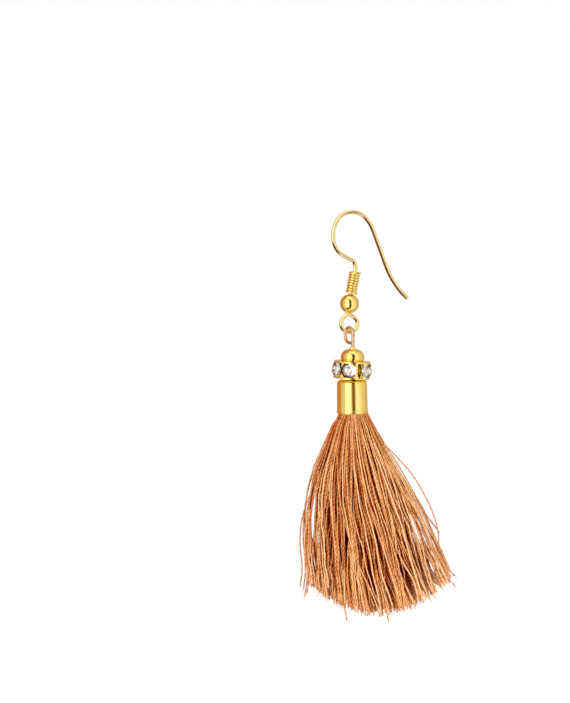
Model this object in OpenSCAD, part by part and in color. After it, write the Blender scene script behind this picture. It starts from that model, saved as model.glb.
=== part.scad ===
// Tassel earring. A fish-hook ear wire carries a wrapped coil and a bead, and ends in a ring.
// From the ring hangs an eye pin with a bead, a crystal rondelle, a metal cap and a thread tassel.
// Millimetres, +Z up, +X towards the tail of the hook, +Y away from the viewer.
// The origin is the underside of the wire at the top of the arch, where the earring hangs.

/* [Ear hook] */
// Diameter of the ear wire
wire_d = 0.6; // [0.5:0.05:0.75]
// Width that the bends of the arch follow
arch_w = 6.3; // [5.5:0.1:8]
// Straight part of the tail behind the arch
tail_l = 5.7; // [3:0.1:8]
// Radius of the ring at the foot of the hook, to the middle of its wire
ring_r = 1.25; // [1.2:0.05:2]
// How far the ring's pointed top rises above its circle
ring_point = 0.15; // [0.1:0.05:0.5]
// How far the ring turns back upright from the slant of the stem, in degrees
ring_upright = 21; // [5:1:30]

/* [Coil and bead on the hook] */
// Length of the wrapped coil
coil_l = 3.6; // [2:0.1:6]
// Outer diameter of the coil
coil_d = 1.7; // [1.65:0.05:2]
// Diameter of the coil's own wire
coil_wire_d = 0.4; // [0.3:0.02:0.42]
// Turns of the coil
coil_turns = 8; // [3:1:8]
// Diameter of the bead under the coil
hook_bead_d = 2.9; // [2.4:0.1:4]

/* [Eye pin] */
// Diameter of the pin's wire
pin_d = 0.5; // [0.35:0.05:0.5]
// Radius of the pin's eye, to the middle of its wire
eye_r = 1.15; // [1.1:0.05:1.3]
// Angle between the eye and the ring that it hangs from, in degrees
eye_turn = 60; // [59:1:90]
// Sideways lean of the pin, its foot away from the tail of the hook, in degrees
pin_lean = 1.5; // [0:0.5:3]
// Distance from the middle of the eye down to the top of the bead
eye_drop = 1.95; // [1.8:0.05:3]
// Thickness of the pin's flat head, inside the cap
pin_head_t = 0.3; // [0.2:0.05:0.5]
// Diameter of the pin's flat head
pin_head_d = 1.4; // [1.1:0.1:2]

/* [Top bead] */
// Diameter of the flattened bead above the rondelle
top_bead_d = 3.6; // [3.5:0.1:4.5]
// Height of that bead
top_bead_h = 2.7; // [2:0.1:3]
// Diameter of the collar round its upper hole
collar_d = 0.95; // [0.9:0.05:1.4]
// How far the collar stands above the bead
collar_h = 0.18; // [0.1:0.02:0.4]

/* [Rondelle] */
// Diameter of its two plates
plate_d = 5.5; // [5.3:0.1:7]
// Thickness of each plate
plate_t = 0.2; // [0.15:0.05:0.4]
// Diameter of the hole in the upper plate, that the bead sits in
plate_hole_d = 3.4; // [2.8:0.1:3.4]
// Diameter of the hole in the lower plate, that rests on the cap
foot_hole_d = 2; // [1:0.1:2.4]
// Wall of the tube that joins the plates
hub_wall = 0.12; // [0.1:0.01:0.17]
// Diameter of each crystal
stone_d = 2.14; // [1.7:0.02:2.16]
// Height of each crystal, from its table to its point
stone_h = 1.1; // [0.9:0.05:1.1]
// How far the crystals stand out past the plates
stone_proud = 0.27; // [0.1:0.01:0.4]
// Number of crystals
stone_n = 7; // [5:1:7]
// Angle of the first crystal from the front, in degrees
stone_start = -61; // [-80:1:-40]
// Angle from the second crystal to the third, across the wider gap, in degrees
stone_gap = 68; // [52:1:69]
// Width of the posts between the crystals
post_w = 0.18; // [0.1:0.02:0.22]
// Sideways lean of the rondelle on its pin, in degrees
rondelle_lean = 1.5; // [0:0.5:4]

/* [Cap] */
// Diameter of the cap under its rounded shoulder
cap_d = 4.58; // [4:0.05:6]
// Height of the cap
cap_h = 5.1; // [3.5:0.05:8]
// Wall of the cap
cap_wall = 0.35; // [0.25:0.05:0.5]
// Radius of the rounded shoulder
shoulder_r = 0.6; // [0.4:0.05:1]
// How much the cap widens down to its rim, across
cap_flare = 0.12; // [0:0.02:0.4]
// Thickness of the rolled rim
rim_t = 0.46; // [0.36:0.02:0.7]
// How far the foot of the cap leans towards the tail of the hook, in degrees
cap_lean = 2.5; // [0:0.5:3]

/* [Tassel] */
// Length of the threads below the cap
skirt_l = 29.8; // [15:0.1:60]
// Width of the skirt at its ends
skirt_w = 22.2; // [12:0.1:30]
// Depth of the skirt at its ends, front to back
skirt_deep = 15.6; // [10:0.1:30]
// How far the ends swing towards the tail of the hook
skirt_swing = 3.5; // [0:0.1:8]
// How much higher the hem is at the sides than in the middle
hem_rise = 4.6; // [0:0.1:7]
// Locks round the outside of the skirt
lock_n = 28; // [16:1:36]

/* [Fits] */
// Gap between metal pieces that rest on each other
metal_gap = 0.05; // [0.03:0.01:0.08]
// Gap between the ring and the eye that hangs in it
hang_gap = 0.14; // [0.1:0.01:0.2]
// Gap round the threads' head in the cap
head_gap = 0.1; // [0.05:0.01:0.2]

/* [Hidden] */
$fn = 48;
UP_Z = 0;
DOWN_Z = 180;
TO_FRONT = -90;
TO_TAIL = 90;
STONES = [for (i = [1:stone_n]) str("stone_", i)];

// Bends of the hook as it runs from the top of the arch down the front to the stem:
// straight and radius as shares of arch_w, then the turn in degrees, clockwise positive.
FRONT_BENDS = [
    [0, 0.42, -60],
    [0, 0.675, -30],
    [0.085, 0.487, -62],
    [0.23, 0.103, 43],
    [0, 0.42, 29]];
// Bends of the tail, from the top of the arch backwards, in the same columns.
TAIL_BENDS = [
    [0, 0.435, 50],
    [0, 1, 20]];
// The outward curve at the end of the tail: radius as a share of arch_w, turn in degrees.
FLARE_R = 2;
FLARE_TURN = -27;
// Where the weight of the drop lies, as a share of the length of the skirt.
WEIGHT_AT = 0.45;
// Radius of the round rim of the top bead, as a share of its height.
BEAD_RIM = 0.46;
// A ball at each joint of a wire is this much wider than the wire, so that its parts join.
KNUCKLE = 1.02;

// Outline of the skirt: share of its length, then the shares of its width, depth and swing.
SKIRT = [
    [0.00, 0.210, 0.295, 0.00],
    [0.11, 0.330, 0.400, 0.00],
    [0.22, 0.460, 0.510, 0.03],
    [0.32, 0.580, 0.610, 0.09],
    [0.45, 0.700, 0.720, 0.20],
    [0.60, 0.820, 0.830, 0.40],
    [0.80, 0.920, 0.930, 0.64],
    [1.00, 1.000, 1.000, 1.00]];
// Inner rings of locks, whose tips fill the hem: share of the outline, number, first share of
// the length, width of a lock as a share of the outer locks' width.
INNER_LOCKS = [
    [0.80, 21, 0.82, 1.05],
    [0.52, 13, 0.84, 1.15],
    [0.24, 6, 0.86, 1.15]];
// The solid middle of the skirt: share of the length, then the share of the outline.
CORE = [
    [0, 0.8],
    [0.12, 0.8],
    [0.3, 0.82],
    [0.5, 0.84],
    [0.7, 0.86],
    [0.88, 0.86],
    [0.93, 0.66],
    [0.95, 0.2]];
LOCK_SIDES = 6;
CORE_SIDES = 28;

// The hook's route
hook_top = [0, wire_d / 2];
stem_start = pose_after(concat(hook_top, TO_FRONT), scaled(FRONT_BENDS));
coil_r = (coil_d - coil_wire_d) / 2;
hook_bead_z = coil_l + metal_gap + sqrt(pow(hook_bead_d / 2, 2) - pow(coil_r, 2));
ring_top = ring_r + ring_point;
ring_slope = asin(ring_r / ring_top);
// The ring starts where its flatter side just clears the edge of the bead's bore.
bore_r = wire_d / 2 + metal_gap;
bore_end = sqrt(pow(hook_bead_d / 2, 2) - pow(bore_r, 2));
stem_l = hook_bead_z + bore_end + bore_r * tan((ring_slope + ring_upright) / 2);
ring_side = sqrt(pow(ring_top, 2) - pow(ring_r, 2));
neck = pose_after(stem_start, [[stem_l, 0, -ring_upright]]);
ring_mid = [neck[0] + ring_top * sin(neck[2]), neck[1] + ring_top * cos(neck[2])];
pivot = [ring_mid[0], 0, ring_mid[1] - ring_r];

// Heights on the drop, below the pivot, along the pin
eye_z = (wire_d + pin_d) / 2 + hang_gap - eye_r;
top_bead_z = eye_z - eye_drop - top_bead_h / 2;
bead_rim_r = BEAD_RIM * top_bead_h;
bead_rim_mid = top_bead_d / 2 - bead_rim_r;
// The rondelle tilts about the middle of the bead, whose rim sits in the hole of its upper plate.
tilt_rise = plate_hole_d / 2 * sin(rondelle_lean);
rim_at_hole = sqrt(pow(bead_rim_r, 2) - pow(plate_hole_d / 2 - bead_rim_mid, 2));
seat_z = rim_at_hole + metal_gap + tilt_rise / 2;
rondelle_h = stone_d + 2 * metal_gap + 2 * plate_t;
rondelle_z = top_bead_z - seat_z - rondelle_h / 2;
cap_flat_r = cap_d / 2 - shoulder_r;
cap_z = rondelle_z - rondelle_h / 2 - cap_flat_r * tan(rondelle_lean + cap_lean) - metal_gap;
pin_head_z = cap_z - cap_wall - 2 * metal_gap - pin_head_t;
head_l = pin_head_z - head_gap - (cap_z - cap_h);
head_r = cap_d / 2 - cap_wall - head_gap;
pin_x = eye_r * cos(eye_turn);
pin_y = -eye_r * sin(eye_turn);
pin_hole_d = pin_d + 2 * metal_gap;
// The pin is off the pivot, so the drop leans until its weight hangs under the pivot.
drop_weight_z = cap_z - cap_h - WEIGHT_AT * skirt_l;
drop_lean = asin(pin_y / drop_weight_z);
stone_r = plate_d / 2 + stone_proud;
hub_r = plate_hole_d / 2 + hub_wall;
post_out = plate_d / 2 - metal_gap;
stone_pitch = (360 - stone_gap) / (stone_n - 1);

// A pose is x, z and a heading in degrees, from +Z clockwise towards +X.
function scaled(rows) = [for (r = rows) [r[0] * arch_w, r[1] * arch_w, r[2]]];
function side(turn) = turn < 0 ? -1 : 1;
function ahead(p, len) = [p[0] + len * sin(p[2]), p[1] + len * cos(p[2]), p[2]];
function bend_mid(p, r, turn) =
    [p[0] + side(turn) * r * cos(p[2]), p[1] - side(turn) * r * sin(p[2])];
function round_bend(p, r, turn) =
    let (c = bend_mid(p, r, turn), s = side(turn), h = p[2] + turn)
    [c[0] - s * r * cos(h), c[1] + s * r * sin(h), h];
function step(p, row) = round_bend(ahead(p, row[0]), row[1], row[2]);
function pose_after(p, rows, i = 0) =
    i == len(rows) ? p : pose_after(step(p, rows[i]), rows, i + 1);
function first(rows, count) = [for (i = [0:1:count - 1]) rows[i]];

module at_pose(p) {
    translate([p[0], 0, p[1]])
        rotate([0, p[2], 0])
            children();
}

module wire_straight(p, len, d) {
    at_pose(p)
        cylinder(h = len, d = d);
}

module wire_bend(p, r, turn, d) {
    mid = bend_mid(p, r, turn);
    start = turn < 0 ? -p[2] : DOWN_Z - p[2] - turn;
    translate([mid[0], 0, mid[1]])
        rotate([90, 0, 0])
            rotate([0, 0, start])
                rotate_extrude(angle = abs(turn))
                    translate([r, 0])
                        circle(d = d);
}

module knuckle(p, d) {
    at_pose(p)
        sphere(d = d * KNUCKLE);
}

// A wire that follows rows of straight length, bend radius and turn. Its two ends are cut flat.
module wire(p, rows, d) {
    for (i = [0:len(rows) - 1]) {
        here = pose_after(p, first(rows, i));
        before_bend = ahead(here, rows[i][0]);
        if (i > 0) knuckle(here, d);
        if (rows[i][0] > 0) wire_straight(here, rows[i][0], d);
        if (rows[i][0] > 0 && rows[i][1] > 0) knuckle(before_bend, d);
        if (rows[i][1] > 0) wire_bend(before_bend, rows[i][1], rows[i][2], d);
    }
}

module at_stem(z) {
    at_pose(ahead(stem_start, z))
        children();
}

module on_drop() {
    translate(pivot)
        rotate([drop_lean, pin_lean, 0])
            children();
}

module on_pin(z) {
    on_drop()
        translate([pin_x, pin_y, z])
            children();
}

module on_rondelle() {
    on_pin(top_bead_z)
        rotate([0, rondelle_lean, 0])
            translate([0, 0, rondelle_z - top_bead_z])
                children();
}

module on_cap(z) {
    on_pin(cap_z)
        rotate([0, -cap_lean, 0])
            translate([0, 0, z])
                children();
}

module ear_hook() {
    ring = [
        [stem_l, 0, -ring_upright - ring_slope],
        [ring_side, ring_r, DOWN_Z + 2 * ring_slope],
        [ring_side, 0, 0]];
    tail = concat(scaled(TAIL_BENDS), [[tail_l, FLARE_R * arch_w, FLARE_TURN]]);
    color("gold") {
        wire(concat(hook_top, TO_FRONT), concat(scaled(FRONT_BENDS), ring), wire_d);
        wire(concat(hook_top, TO_TAIL), tail, wire_d);
        knuckle(concat(hook_top, TO_TAIL), wire_d);
        knuckle(neck, wire_d);
    }
}

// One closed helical wire with ring_n sections a turn and six sides.
module helix(r, wire, len, turns) {
    ring_n = 12;
    sides = 6;
    last = turns * ring_n;
    rise = (len - wire) / last;
    points = [for (k = [0:last], j = [0:sides - 1])
        let (a = 360 * k / ring_n, b = 360 * j / sides, out = r + wire / 2 * cos(b))
        [out * cos(a), out * sin(a), wire / 2 + k * rise + wire / 2 * sin(b)]];
    polyhedron(points, tube_faces(last, sides), convexity = 10);
}

function tube_faces(last, sides) = concat(
    [[for (j = [sides - 1:-1:0]) j]],
    [[for (j = [0:sides - 1]) last * sides + j]],
    [for (k = [0:last - 1], j = [0:sides - 1])
        let (a = k * sides + j, b = k * sides + (j + 1) % sides)
        [a, b, b + sides, a + sides]]);

module hook_coil() {
    color("goldenrod")
        at_stem(0)
            helix(coil_r, coil_wire_d, coil_l, coil_turns);
}

module hook_bead() {
    color("gold")
        at_stem(hook_bead_z)
            difference() {
                sphere(d = hook_bead_d);
                cylinder(h = 2 * hook_bead_d, r = bore_r, center = true);
            }
}

module eye_pin() {
    // The eye bends three quarters of a turn and runs on until it meets the pin.
    eye_bend = 270;
    close_l = eye_r - pin_d / 2;
    rows = [
        [eye_z - pin_head_z, eye_r, -eye_bend],
        [close_l, 0, 0]];
    color("rosybrown")
        on_drop() {
            rotate([0, 0, -eye_turn])
                wire([eye_r, pin_head_z, UP_Z], rows, pin_d);
            translate([pin_x, pin_y, pin_head_z])
                cylinder(h = pin_head_t, d = pin_head_d);
        }
}

module top_bead() {
    color("gold")
        on_pin(top_bead_z)
            difference() {
                union() {
                    flat_ball(top_bead_d, top_bead_h, bead_rim_r);
                    cylinder(h = top_bead_h / 2 + collar_h, d = collar_d);
                }
                cylinder(h = 2 * top_bead_h, d = pin_hole_d, center = true);
            }
}

// A ball of diameter d and height h: a round rim that runs smoothly into two flatter domes.
module flat_ball(d, h, rim_r) {
    rim_mid = d / 2 - rim_r;
    rise = h / 2 - rim_r;
    dome_down = (pow(rim_mid, 2) - pow(rise, 2)) / (2 * rise);
    dome_r = h / 2 + dome_down;
    meet_r = dome_r * rim_mid / (dome_r - rim_r);
    rotate_extrude()
        intersection() {
            translate([0, -h])
                square([d, 2 * h]);
            union() {
                translate([rim_mid, 0])
                    circle(r = rim_r);
                intersection() {
                    translate([0, -dome_down])
                        circle(r = dome_r);
                    translate([0, dome_down])
                        circle(r = dome_r);
                    translate([0, -h])
                        square([meet_r, 2 * h]);
                }
            }
        }
}

module rondelle() {
    color("darkgoldenrod")
        on_rondelle() {
            translate([0, 0, rondelle_h / 2 - plate_t])
                ring_plate(plate_d, plate_hole_d, plate_t);
            translate([0, 0, -rondelle_h / 2]) {
                ring_plate(plate_d, foot_hole_d, plate_t);
                ring_plate(2 * hub_r, plate_hole_d, rondelle_h);
            }
            for (i = [1:stone_n])
                post(stone_turn(i) + stone_pitch / 2);
        }
}

// The angle of crystal i from the front: the gap after the second one is wider than the others.
function stone_turn(i) = stone_start + (i - 1) * stone_pitch + (i > 2 ? stone_gap - stone_pitch : 0);

module post(turn) {
    rotate([0, 0, turn + TO_FRONT])
        translate([hub_r - hub_wall / 2, -post_w / 2, plate_t / 2 - rondelle_h / 2])
            cube([post_out - hub_r, post_w, rondelle_h - plate_t]);
}

module ring_plate(d, hole_d, t) {
    difference() {
        cylinder(h = t, d = d);
        translate([0, 0, -t])
            cylinder(h = 3 * t, d = hole_d);
    }
}

// A round cut crystal along +Z, table up at z = 0: eight crown mains and sixteen girdle points.
module crystal(d, h) {
    table_r = d * 0.3;
    crown_h = h * 0.28;
    girdle_h = h * 0.06;
    n = 16;
    table = [for (i = [0:2:n - 1]) [table_r * cos(i * 360 / n), table_r * sin(i * 360 / n), 0]];
    girdle = [for (z = [-crown_h, -crown_h - girdle_h], i = [0:n - 1])
        [d / 2 * cos(i * 360 / n), d / 2 * sin(i * 360 / n), z]];
    m = n / 2;
    top = m;
    low = m + n;
    tip = m + 2 * n;
    polyhedron(concat(table, girdle, [[0, 0, -h]]), concat(
        [[for (i = [m - 1:-1:0]) i]],
        [for (i = [0:m - 1]) [i, (i + 1) % m, top + 2 * i + 1]],
        [for (i = [0:m - 1]) [i, top + 2 * i + 1, top + 2 * i]],
        [for (i = [0:m - 1]) [(i + 1) % m, top + (2 * i + 2) % n, top + 2 * i + 1]],
        [for (i = [0:n - 1]) [top + i, top + (i + 1) % n, low + (i + 1) % n, low + i]],
        [for (i = [0:n - 1]) [low + i, low + (i + 1) % n, tip]]));
}

module stone(i) {
    color("white")
        on_rondelle()
            rotate([0, 0, stone_turn(i) + TO_FRONT])
                translate([stone_r, 0, 0])
                    rotate([0, 90, 0])
                        crystal(stone_d, stone_h);
}

module cap() {
    foot_r = (cap_d + cap_flare) / 2;
    color("gold")
        on_cap(0)
            difference() {
                union() {
                    translate([0, 0, -cap_h])
                        cylinder(h = cap_h - shoulder_r, r1 = foot_r, r2 = cap_d / 2);
                    translate([0, 0, -shoulder_r])
                        rotate_extrude()
                            translate([cap_flat_r, 0])
                                circle(r = shoulder_r);
                    translate([0, 0, -2 * shoulder_r])
                        cylinder(h = 2 * shoulder_r, r = cap_flat_r);
                    translate([0, 0, rim_t / 2 - cap_h])
                        rotate_extrude()
                            translate([foot_r - cap_wall / 2, 0])
                                circle(d = rim_t);
                }
                translate([0, 0, -2 * cap_h - cap_wall])
                    cylinder(h = 2 * cap_h, r = cap_d / 2 - cap_wall);
                translate([0, 0, -2 * cap_wall])
                    cylinder(h = 3 * cap_wall, d = pin_hole_d);
            }
}

function outline(t, column) = lookup(t, [for (row = SKIRT) [row[0], row[column]]]);
function half_w(t) = skirt_w / 2 * outline(t, 1);
function half_deep(t) = skirt_deep / 2 * outline(t, 2);
function swing(t) = skirt_swing * outline(t, 3);
// The place at share t of the length, share out of the outline and angle a. The hem hangs lowest
// in the middle and rises to both sides.
function spot(t, out, a) = [
    swing(t) + out * half_w(t) * cos(a),
    out * half_deep(t) * sin(a),
    -t * (skirt_l - hem_rise * pow(out * cos(a), 2))];

// One lock of threads at angle a: out is its outer side as a share of the outline, from is where
// it starts as a share of the length, to is where it ends, and wide its half width.
module lock(a, out, from, to, wide) {
    ring_n = 9;
    thick = 0.16;
    taper = 0.4;
    points = [for (k = [0:ring_n], j = [0:LOCK_SIDES - 1])
        let (t = from + (to - from) * k / ring_n,
             b = 360 * j / LOCK_SIDES,
             size = (half_w(t) + half_deep(t)) / 2 * (1 - taper * pow(t, 4)),
             radial = thick * size * cos(b),
             across = wide * size * sin(b),
             aside = [radial * cos(a) - across * sin(a), radial * sin(a) + across * cos(a), 0])
        spot(t, out - thick, a) + aside];
    polyhedron(points, tube_faces(ring_n, LOCK_SIDES), convexity = 4);
}

module skirt_core() {
    points = [for (row = CORE, j = [0:CORE_SIDES - 1]) spot(row[0], row[1], 360 * j / CORE_SIDES)];
    polyhedron(points, tube_faces(len(CORE) - 1, CORE_SIDES), convexity = 4);
}

// Where the tip of lock i lies, as a share of the length: the tips are uneven.
function tip(i) = 1 - 0.015 * (1 + sin(210 * i)) / 2;

module tassel() {
    // The locks overlap, so each is a fifth wider than its share of the way round.
    wide = 1.2 * PI / lock_n;
    color("peru")
        on_cap(-cap_h) {
            cylinder(h = head_l, r = head_r);
            skirt_core();
            for (i = [0:lock_n - 1])
                lock(360 * i / lock_n, 1, 0, tip(i), wide);
            for (row = INNER_LOCKS, i = [0:row[1] - 1])
                lock(360 * (i + 0.5) / row[1], row[0], row[2], tip(i), row[3] * wide);
        }
}

ear_hook();
hook_coil();
hook_bead();
eye_pin();
top_bead();
rondelle();
for (i = [1:stone_n])
    stone(i);
cap();
tassel();
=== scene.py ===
"""The looks of a tassel earring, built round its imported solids. Metres, +Z up, the viewer at -Y."""

import math

import bpy
import numpy as np
from mathutils import Matrix, Vector

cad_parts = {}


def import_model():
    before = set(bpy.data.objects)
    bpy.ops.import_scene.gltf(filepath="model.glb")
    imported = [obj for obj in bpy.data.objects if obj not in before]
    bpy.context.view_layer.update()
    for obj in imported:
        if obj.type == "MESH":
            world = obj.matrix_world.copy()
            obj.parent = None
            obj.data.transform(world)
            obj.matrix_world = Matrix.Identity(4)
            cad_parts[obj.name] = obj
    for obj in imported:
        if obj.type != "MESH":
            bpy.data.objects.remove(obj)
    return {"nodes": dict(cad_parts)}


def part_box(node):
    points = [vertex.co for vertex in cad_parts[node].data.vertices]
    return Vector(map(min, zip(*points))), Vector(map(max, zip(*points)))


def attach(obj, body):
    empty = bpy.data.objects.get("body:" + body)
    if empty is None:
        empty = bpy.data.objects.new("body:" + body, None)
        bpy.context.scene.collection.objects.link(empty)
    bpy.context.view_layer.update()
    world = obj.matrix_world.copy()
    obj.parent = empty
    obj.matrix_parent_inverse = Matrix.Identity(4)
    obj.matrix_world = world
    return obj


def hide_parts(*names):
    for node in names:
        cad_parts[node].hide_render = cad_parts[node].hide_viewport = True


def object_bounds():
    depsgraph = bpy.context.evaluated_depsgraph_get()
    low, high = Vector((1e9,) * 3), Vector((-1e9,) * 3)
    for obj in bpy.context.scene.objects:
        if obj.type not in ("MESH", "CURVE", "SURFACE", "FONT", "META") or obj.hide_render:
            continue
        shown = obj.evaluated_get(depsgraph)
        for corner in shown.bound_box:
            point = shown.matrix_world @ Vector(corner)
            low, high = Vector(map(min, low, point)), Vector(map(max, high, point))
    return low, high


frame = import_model()
CAD_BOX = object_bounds()

MM = 0.001
TURN = 2 * math.pi
NODES = frame["nodes"]


# ---- Shader nodes ----


def put(tree, node, inputs):
    """Sets the node's inputs, by name or number, each to a value or to another node's socket."""
    for name, value in inputs.items():
        if isinstance(value, bpy.types.NodeSocket):
            tree.links.new(value, node.inputs[name])
        else:
            node.inputs[name].default_value = value


def add(tree, kind, inputs=None, **settings):
    """A new node with its settings and inputs."""
    made = tree.nodes.new(kind)
    for name, value in settings.items():
        setattr(made, name, value)
    put(tree, made, inputs or {})
    return made


def calc(tree, operation, *values):
    return add(tree, "ShaderNodeMath", dict(enumerate(values)), operation=operation).outputs[0]


def step_between(tree, value, low, high):
    """0 where value is under low and 1 where it is over high, smooth between."""
    made = add(tree, "ShaderNodeMapRange", {"Value": value, "From Min": low, "From Max": high},
               interpolation_type="SMOOTHSTEP")
    return made.outputs["Result"]


def mixed(tree, share, first, second):
    """The first colour where share is 0 and the second where it is 1."""
    return add(tree, "ShaderNodeMix", {0: share, 6: first, 7: second}, data_type="RGBA").outputs[2]


def noise(tree, vector, scale, detail=2.0):
    made = add(tree, "ShaderNodeTexNoise", {"Vector": vector, "Scale": scale, "Detail": detail})
    return made.outputs["Fac"]


def millimetres(tree):
    """Coordinates on the object, in millimetres."""
    place = add(tree, "ShaderNodeTexCoord").outputs["Object"]
    scale = (1 / MM, 1 / MM, 1 / MM)
    return add(tree, "ShaderNodeMapping", {"Vector": place, "Scale": scale}).outputs["Vector"]


def new_material(name):
    """A material, its node tree and its one shader."""
    material = bpy.data.materials.new(name)
    material.use_nodes = True
    tree = material.node_tree
    tree.nodes.clear()
    shader = add(tree, "ShaderNodeBsdfPrincipled")
    add(tree, "ShaderNodeOutputMaterial", {"Surface": shader.outputs["BSDF"]})
    return material, tree, shader


# ---- Metal ----

# Finishes of the metal: the lighter and the deeper tone, the roughness, and whether it has the painted
# dark reflection.
METALS = {
    "wire_gold": ((1.0, 0.87, 0.43, 1), (1.0, 0.82, 0.36, 1), 0.20, True),
    "bead_gold": ((1.0, 0.82, 0.30, 1), (0.98, 0.74, 0.22, 1), 0.08, False),
    "cap_gold": ((1.0, 0.82, 0.30, 1), (0.98, 0.75, 0.23, 1), 0.10, False),
    "pin_metal": ((0.82, 0.60, 0.43, 1), (0.62, 0.40, 0.25, 1), 0.24, False)}
# Noise in the metal: its scale, to a millimetre, and detail, and the values between which it acts.
PATCHES, PATCH_RANGE = (0.9, 3.0), (0.35, 0.7)
POLISH, POLISH_RANGE = (4.0, 4.0), (0.3, 0.75)
DENTS, HAIRLINES = (1.1, 1.0), (9.0, 2.0)
# The best and the worst polish, as shares of the roughness.
POLISH_BEST, POLISH_WORST = 0.7, 1.5
# Strength and depth of the dents and the hairlines.
DENT_STRENGTH, DENT_DEPTH = 0.16, 0.02 * MM
HAIR_STRENGTH, HAIR_DEPTH = 0.02, 0.004 * MM

# A painted reflection: a dark line painted along the side of the ear wire that faces down and to the
# left, where the wire is steep, in place of a dark reflection. Its colour, then the values between which
# it
# sets in: of the surface's normal along X and along Y, and of the normal's slope, Z over X, once from
# each side.
PAINTED_REFLECTION = (0.045, 0.014, 0.001, 1)
PAINTED_REFLECTION_X, PAINTED_REFLECTION_Y = (-0.02, -0.15), (0.52, 0.72)
PAINTED_REFLECTION_SLOPES = ((0.0, 0.4), (1.6, 0.8))


def painted_reflection_line(tree):
    """How dark the painted reflection is, from 0 to 1."""
    normal = add(tree, "ShaderNodeTexCoord").outputs["Normal"]
    facing = add(tree, "ShaderNodeSeparateXYZ", {"Vector": normal}).outputs
    slope = calc(tree, "DIVIDE", facing["Z"], facing["X"])
    reflection_dark = calc(tree, "MULTIPLY", step_between(tree, facing["X"], *PAINTED_REFLECTION_X),
                step_between(tree, calc(tree, "ABSOLUTE", facing["Y"]), *PAINTED_REFLECTION_Y))
    for first, full in PAINTED_REFLECTION_SLOPES:
        reflection_dark = calc(tree, "MULTIPLY", reflection_dark, step_between(tree, slope, first, full))
    return reflection_dark


def metal_material(name, light, deep, rough, has_painted_reflection):
    """Polished plate: two tones in soft patches, uneven polish, faint dents and hairlines, and if asked
    a painted dark reflection line.
    """
    material, tree, shader = new_material(name)
    place = millimetres(tree)
    colour = mixed(tree, step_between(tree, noise(tree, place, *PATCHES), *PATCH_RANGE), light, deep)
    # A dark reflection line painted into the colour.
    if has_painted_reflection:
        colour = mixed(tree, painted_reflection_line(tree), colour, PAINTED_REFLECTION)
    low, high = POLISH_RANGE
    polish = add(tree, "ShaderNodeMapRange", {
        "Value": noise(tree, place, *POLISH), "From Min": low, "From Max": high,
        "To Min": rough * POLISH_BEST, "To Max": rough * POLISH_WORST})
    dents = add(tree, "ShaderNodeBump", {
        "Height": noise(tree, place, *DENTS), "Strength": DENT_STRENGTH, "Distance": DENT_DEPTH})
    hairs = add(tree, "ShaderNodeBump", {
        "Height": noise(tree, place, *HAIRLINES), "Strength": HAIR_STRENGTH,
        "Distance": HAIR_DEPTH, "Normal": dents.outputs["Normal"]})
    put(tree, shader, {"Base Color": colour, "Metallic": 1.0, "Roughness": polish.outputs["Result"],
                       "Normal": hairs.outputs["Normal"]})
    return material


# ---- Crystal, foil and thread ----

FOIL_LIGHT, FOIL_DARK = (0.94, 0.93, 0.91, 1), (0.70, 0.68, 0.65, 1)
FOIL_PATCHES = 3.0

# Tones of the thread from dark to light. The dark stops mostly colour the painted shade, in a deep
# red-brown.
THREAD_TONES = [
    (0.00, (0.330, 0.002, 0.000, 1)),
    (0.28, (0.360, 0.022, 0.000, 1)),
    (0.55, (0.440, 0.146, 0.030, 1)),
    (0.78, (0.575, 0.282, 0.109, 1)),
    (1.00, (0.710, 0.410, 0.210, 1))]
# Mottling of the tone: scale and detail of its noise, and how far it goes from end to end.
MOTTLE_NOISE, MOTTLE = (2.2, 3.0), 0.56
# Length of one twist of the plies in the finish, in millimetres. Their shape goes from 0 in a groove
# to 1 on a ridge. Grooves under PLY_EDGE take painted shade from the tone; ridges over it add a painted
# highlight.
PLY_TWIST = 1.3
PLY_EDGE, GROOVE_SHADE, RIDGE_HIGHLIGHT = 0.6, -0.46, 0.12
# Fibres to a millimetre along the thread and round it, and their height as a share of the plies'.
FIBRES_ALONG, FIBRES_ROUND, FIBRE_H = 3.0, 5.0, 0.12
THREAD_BUMP, THREAD_BUMP_H = 0.7, 0.03 * MM
THREAD_GLOSS = {"Roughness": 0.42, "Specular IOR Level": 0.16, "Specular Tint": (1.0, 0.60, 0.30, 1.0)}


def crystal_material():
    """Clear glass, for the crown of a stone."""
    material, tree, shader = new_material("crystal")
    put(tree, shader, {"Base Color": (1.0, 1.0, 1.0, 1.0), "Roughness": 0.0, "IOR": 1.58,
                       "Transmission Weight": 1.0})
    return material


def foil_material():
    """The silvered back of a stone."""
    material, tree, shader = new_material("foil")
    patches = noise(tree, millimetres(tree), FOIL_PATCHES)
    put(tree, shader, {"Base Color": mixed(tree, patches, FOIL_LIGHT, FOIL_DARK), "Metallic": 1.0,
                       "Roughness": 0.05})
    return material


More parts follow.
